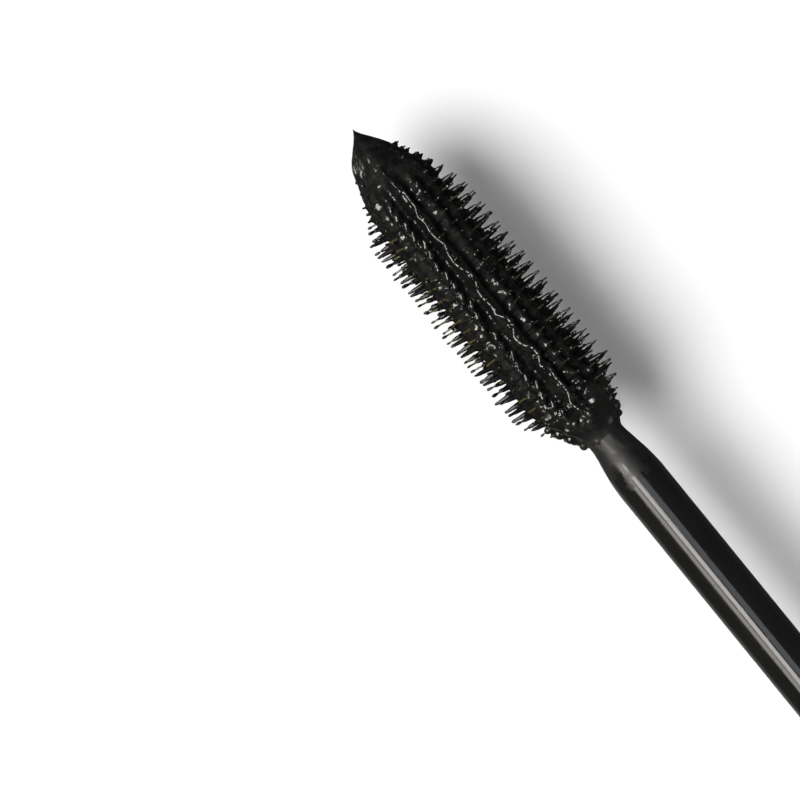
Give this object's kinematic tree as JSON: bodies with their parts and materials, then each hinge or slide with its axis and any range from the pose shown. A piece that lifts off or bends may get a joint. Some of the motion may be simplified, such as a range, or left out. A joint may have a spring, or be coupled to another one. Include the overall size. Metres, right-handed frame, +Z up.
{
  "type": "mascara tube",
  "caption": "Open mascara: a slim round gloss-black tube with a threaded neck, and its paste-coated moulded brush wand drawn straight out of the mouth.",
  "frame": {"origin": "middle of the open mascara's length, on the surface that it lies on, straight under the common axis of tube and wand", "axes": "+X along the common axis from the tube's base to the end of the cap, +Z up, +Y to the left when looking along +X"},
  "size_m": [0.2176, 0.0164, 0.0164],
  "materials": {
    "shell_gloss": "gloss",
    "collar_metal": "polished",
    "weight_steel": "satin",
    "vial_plastic": "satin",
    "wiper_plastic": "satin",
    "insert_plastic": "satin",
    "stem_plastic": "polished",
    "brush_rubber": "satin",
    "washer_foam": "matte",
    "mascara_paste": "gloss"
  },
  "bodies": {
    "tube": {"base_plug": "shell_gloss", "sleeve": "shell_gloss", "vial": "vial_plastic", "collar": "collar_metal", "wiper": "wiper_plastic", "mascara_fill": "mascara_paste"},
    "liner": {"liner_washer": "washer_foam"},
    "wand": {"cap_shell": "shell_gloss", "cap_end_plug": "shell_gloss", "cap_trim_ring": "collar_metal", "cap_weight": "weight_steel", "inner_cap": "insert_plastic", "stem": "stem_plastic", "brush": "brush_rubber", "mascara_coat": "mascara_paste"}
  },
  "joints": [
    {"name": "wand_draw", "type": "slide", "parent": "tube", "child": "liner", "axis": [1, 0, 0], "range_m": [-0.096, 0], "deforming": ["wiper"]},
    {"name": "cap_turn", "type": "hinge", "parent": "liner", "child": "wand", "pos_m": [0.056, 0, 0.00821], "axis": [1, 0, 0], "range_deg": [-540, 0]}
  ]
}
